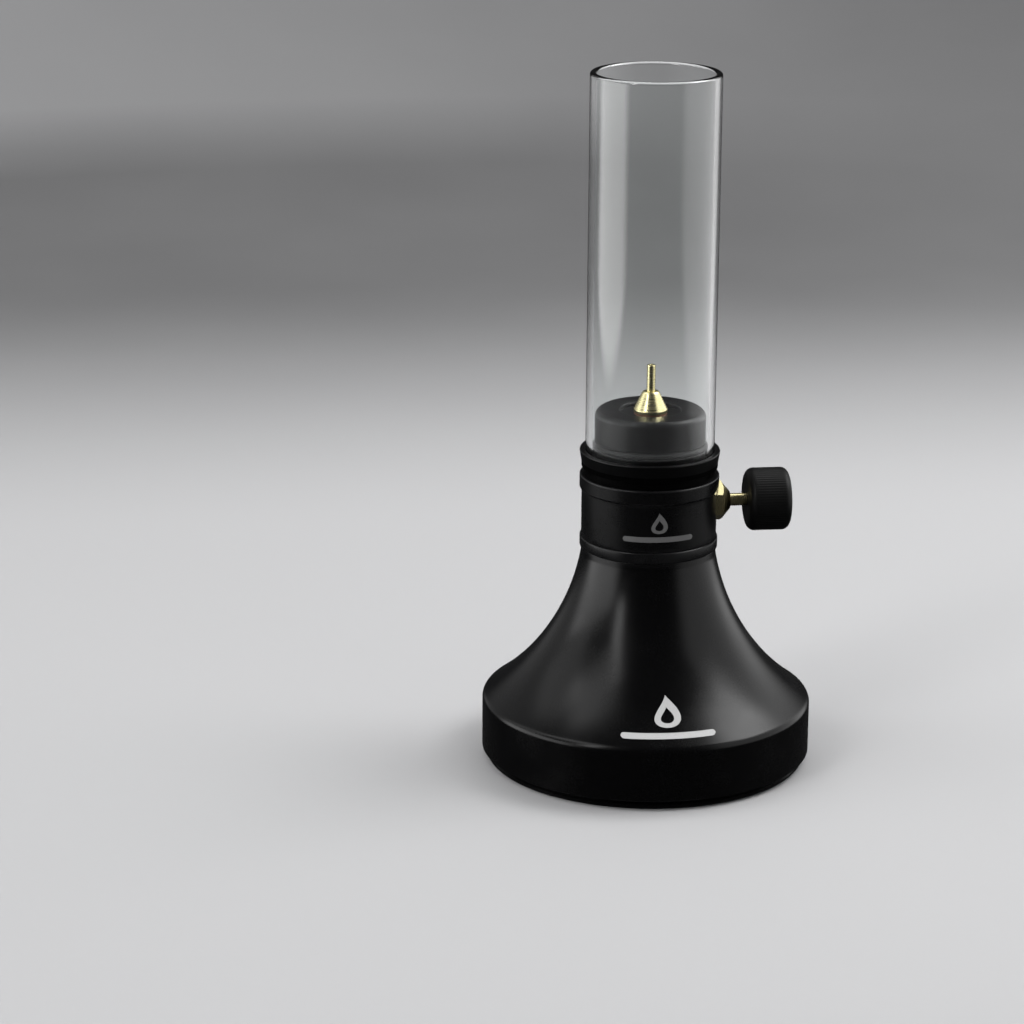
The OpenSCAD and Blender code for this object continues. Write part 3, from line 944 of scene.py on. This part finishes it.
def make_floor(finish):
    """A round pale floor that sweeps up into a wall on every side."""
    flat, radius, top = 0.55, 0.9, 3.0
    steps, curve_steps = 96, 24
    # It lies a hair below the lamp's foot, so that the two share no plane
    floor_z = -0.05 * MM
    profile = [(0.15, 0.0), (flat, 0.0)]
    for i in range(1, curve_steps + 1):
        turn = math.pi / 2 * i / curve_steps
        profile.append((flat + radius * math.sin(turn), radius - radius * math.cos(turn)))
    profile.append((flat + radius, top))
    mesh = bmesh.new()
    centre = mesh.verts.new((0, 0, floor_z))
    turns = [2 * math.pi * k / steps for k in range(steps)]
    rows = []
    for reach, z in profile:
        rows.append([mesh.verts.new((reach * math.cos(t), reach * math.sin(t), z + floor_z)) for t in turns])
    for k in range(steps):
        mesh.faces.new((centre, rows[0][k], rows[0][(k + 1) % steps]))
        for low, high in zip(rows, rows[1:]):
            mesh.faces.new((low[k], low[(k + 1) % steps], high[(k + 1) % steps], high[k]))
    floor = new_piece("studio_floor", mesh, math.radians(60))
    floor.data.materials.append(finish)
    floor.visible_glossy = False


def make_world(tone):
    """An even, faint light from everywhere."""
    world = bpy.data.worlds.new("studio")
    world.use_nodes = True
    world.node_tree.nodes["Background"].inputs["Color"].default_value = (tone, tone, tone * 1.03, 1)
    bpy.context.scene.world = world


def make_studio():
    """Camera, floor and lights. A panel's numbers are its bearing, distance, bottom, top, width and tone;
    a high box's are its bearing, elevation, distance, size and tone."""
    make_camera()
    make_floor(studio_grey("pale_floor", 0.43, 0.138, 0.28))
    make_world(0.03)
    ceiling(2.4, 2.0, 1.2)
    panel("left_low_panel", -80, 1.0, -0.17, 0.40, 1.5, 4.7)
    panel("left_panel", -98, 1.0, 0.40, 1.3, 0.9, 1.7)
    panel("left_strip", -40, 1.1, 0.30, 1.5, 0.30, 8.0)
    panel("right_panel", 96, 1.0, -0.23, 1.15, 2.7, 1.7)
    panel("left_back_panel", -130, 1.2, -0.1, 1.3, 1.1, 0.45)
    panel("right_back_panel", 135, 1.3, -0.1, 1.3, 0.9, 0.5)
    high_box("right_high_box", 106, 52, 1.0, (0.8, 0.6), 10.0)
    high_box("left_high_box", -70, 54, 1.0, (0.7, 0.6), 3.5)
    high_box("back_high_box", 175, 65, 1.1, (0.9, 0.7), 2.4)
    bpy.context.scene.view_settings.view_transform = "Standard"


# ---------------------------------------------------------------- the lamp


def build():
    """Every shown piece, and the material of each CAD node that is still shown."""
    tank_black = anodised("tank_black", 0.002, 0.008, 0.25, 0.15)
    collar_black = anodised("collar_black", 0.003, 0.010, 0.28, 0.15)
    holder_black = anodised("holder_black", 0.002, 0.005, 0.34, 0.12, 74.7)
    head_black = anodised("head_black", 0.003, 0.010, 0.32, 0.20, 73.5)
    lamp_brass = brass("lamp_brass")
    valve_brass = brass("valve_brass", (0, 0, VALVE_Z * MM), "X")
    steel = metal("steel", (0.62, 0.63, 0.65, 1), (0.5, 0.5, 0.52, 1), 0.3)
    dark_steel = metal("dark_steel", (0.10, 0.10, 0.11, 1), (0.06, 0.06, 0.065, 1), 0.4)
    copper = metal("copper", (0.72, 0.40, 0.26, 1), (0.6, 0.33, 0.22, 1), 0.35)
    seal = rubber("seal_rubber", 0.012)
    knob_black = knob_plastic("knob_black")
    by_slot = {
        "black_anodised": tank_black,
        "brass": lamp_brass,
        "copper": copper,
        "steel": steel,
        "dark_steel": dark_steel,
        "seal_rubber": seal,
        "filter": felt("filter_felt"),
    }
    make_tank(tank_black)
    make_lock_ring(collar_black)
    make_collar(collar_black)
    make_holder(holder_black)
    make_head(head_black)
    make_jet(lamp_brass)
    make_gland(valve_brass)
    make_spring(steel)
    make_knob(knob_black)
    make_glass(clear_glass("clear_glass"))
    make_mark("collar_mark", on_collar, 58.9, (4.6, 5.2), (17.5, 1.3), print_ink("collar_ink", 0.13))
    make_mark("flare_mark", on_flare, 2.0, (7.4, 8.6), (23, 1.7), print_ink("flare_ink", 0.5))
    finishes = {part["node"]: by_slot.get(part["material_slot"]) for part in frame["record"]["subparts"]}
    finishes["valve_spindle"] = valve_brass
    finish_cad_nodes(finishes)


make_studio()
build()
